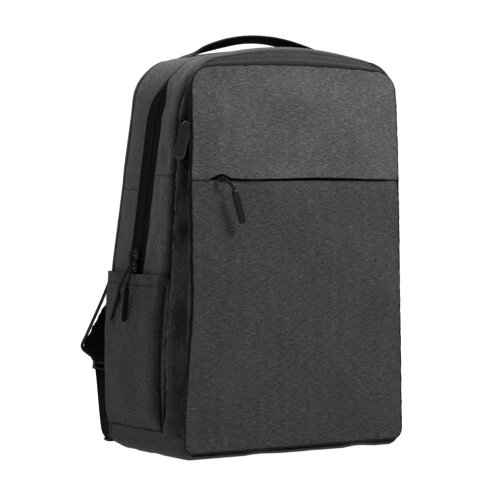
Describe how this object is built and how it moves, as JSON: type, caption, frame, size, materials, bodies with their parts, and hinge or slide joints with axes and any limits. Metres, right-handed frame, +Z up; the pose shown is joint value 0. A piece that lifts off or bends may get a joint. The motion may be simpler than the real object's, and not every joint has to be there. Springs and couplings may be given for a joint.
{
  "type": "laptop backpack",
  "caption": "Boxy grey laptop backpack with a dark main zip, a front slit pocket, side pockets, a covered charging port, a webbing handle and padded shoulder straps.",
  "frame": {"origin": "middle of the flat base, at floor level", "axes": "+Z up, the front faces -Y, the straps are on the +Y side, and the charging port and the main zip's sliders are on the -X side"},
  "size_m": [0.3271, 0.2531, 0.4833],
  "materials": {
    "melange_fabric": "two-tone grey woven polyester, matt",
    "lining_fabric": "plain dark grey lining",
    "air_mesh": "black spacer mesh over foam",
    "webbing": "black woven polyester webbing and cord",
    "zip_tape": "black woven zip tape",
    "zip_coil": "black polyester coil",
    "slider_metal": "black plated",
    "pull_rubber": "black, satin",
    "buckle_plastic": "black moulded",
    "port_steel": "plated sheet steel",
    "port_tongue": "black moulded",
    "stiffener_board": "grey sheet"
  },
  "bodies": {
    "bag": {"back_panel": "melange_fabric", "back_pad_left": "air_mesh", "back_pad_right": "air_mesh", "strap_yoke": "melange_fabric", "rear_gusset": "melange_fabric", "front_gusset": "melange_fabric", "main_zip_tape": "zip_tape", "main_zip_coil": "zip_coil", "side_panel_left": "melange_fabric", "side_panel_right": "melange_fabric", "bottom_panel": "melange_fabric", "base_board": "stiffener_board", "divider_wall": "lining_fabric", "front_pocket_gusset": "melange_fabric", "front_panel_lower": "melange_fabric", "front_panel_upper": "melange_fabric", "front_zip_tape": "zip_tape", "front_zip_coil": "zip_coil", "side_pocket_left": "melange_fabric", "side_pocket_right": "melange_fabric", "side_pocket_hem_left": "melange_fabric", "side_pocket_hem_right": "melange_fabric", "port_base": "pull_rubber", "port_shell": "port_steel", "port_tongue": "port_tongue", "laptop_sleeve": "lining_fabric", "sleeve_tab": "webbing", "battery_pocket": "lining_fabric", "handle_end_left": "webbing", "handle_end_right": "webbing", "strap_tab_left": "webbing", "strap_tab_right": "webbing"},
    "lower_slider": {"main_slider_lower": "slider_metal"},
    "lower_pull": {"main_pull_lower_cord": "webbing", "main_pull_lower_grip": "pull_rubber"},
    "upper_slider": {"main_slider_upper": "slider_metal"},
    "upper_pull": {"main_pull_upper_cord": "webbing", "main_pull_upper_grip": "pull_rubber"},
    "pocket_slider": {"front_slider": "slider_metal"},
    "pocket_pull": {"front_pull_cord": "webbing", "front_pull_grip": "pull_rubber"},
    "port_cover": {"port_flap": "pull_rubber"},
    "handle": {"handle_webbing": "webbing"},
    "strap_left": {"strap_pad_left": "air_mesh", "adjuster_loop_left": "webbing", "adjuster_left": "buckle_plastic", "strap_webbing_left": "webbing"},
    "strap_right": {"strap_pad_right": "air_mesh", "adjuster_loop_right": "webbing", "adjuster_right": "buckle_plastic", "strap_webbing_right": "webbing"}
  },
  "joints": [
    {"name": "lower_slider_travel", "type": "slide", "parent": "bag", "child": "lower_slider", "axis": [0.0206, -0.1961, 0.9804], "range_m": [0, 0.068]},
    {"name": "lower_pull_swing", "type": "hinge", "parent": "lower_slider", "child": "lower_pull", "pos_m": [-0.15254, 0.0255, 0.21511], "axis": [0.0041, 0.9806, 0.196], "range_deg": [0, 60]},
    {"name": "upper_slider_travel", "type": "slide", "parent": "lower_slider", "child": "upper_slider", "axis": [0.0206, -0.1961, 0.9804], "range_m": [0, 0.068]},
    {"name": "upper_pull_swing", "type": "hinge", "parent": "upper_slider", "child": "upper_pull", "pos_m": [-0.15222, 0.0225, 0.23011], "axis": [0.0041, 0.9806, 0.196], "range_deg": [0, 90]},
    {"name": "pocket_slider_travel", "type": "slide", "parent": "bag", "child": "pocket_slider", "axis": [1, 0, 0], "range_m": [0, 0.212]},
    {"name": "pocket_pull_swing", "type": "hinge", "parent": "pocket_slider", "child": "pocket_pull", "pos_m": [-0.107, -0.0908, 0.315], "axis": [0, 0, -1], "range_deg": [0, 120]},
    {"name": "port_cover_lift", "type": "hinge", "parent": "bag", "child": "port_cover", "pos_m": [-0.14625, -0.06838, 0.35987], "axis": [-0.0642, 0.1219, -0.9905], "range_deg": [0, 110]},
    {"name": "handle_lean", "type": "hinge", "parent": "bag", "child": "handle", "pos_m": [0, -0.003, 0.464], "axis": [1, 0, 0], "range_deg": [-12, 35]},
    {"name": "strap_left_swing", "type": "hinge", "parent": "bag", "child": "strap_left", "pos_m": [-0.06, 0.064, 0.375], "axis": [-0.2132, 0.1026, -0.9716], "range_deg": [-12, 12]},
    {"name": "strap_right_swing", "type": "hinge", "parent": "bag", "child": "strap_right", "pos_m": [0.06, 0.064, 0.375], "axis": [0.2132, 0.1026, -0.9716], "range_deg": [-12, 12]}
  ]
}
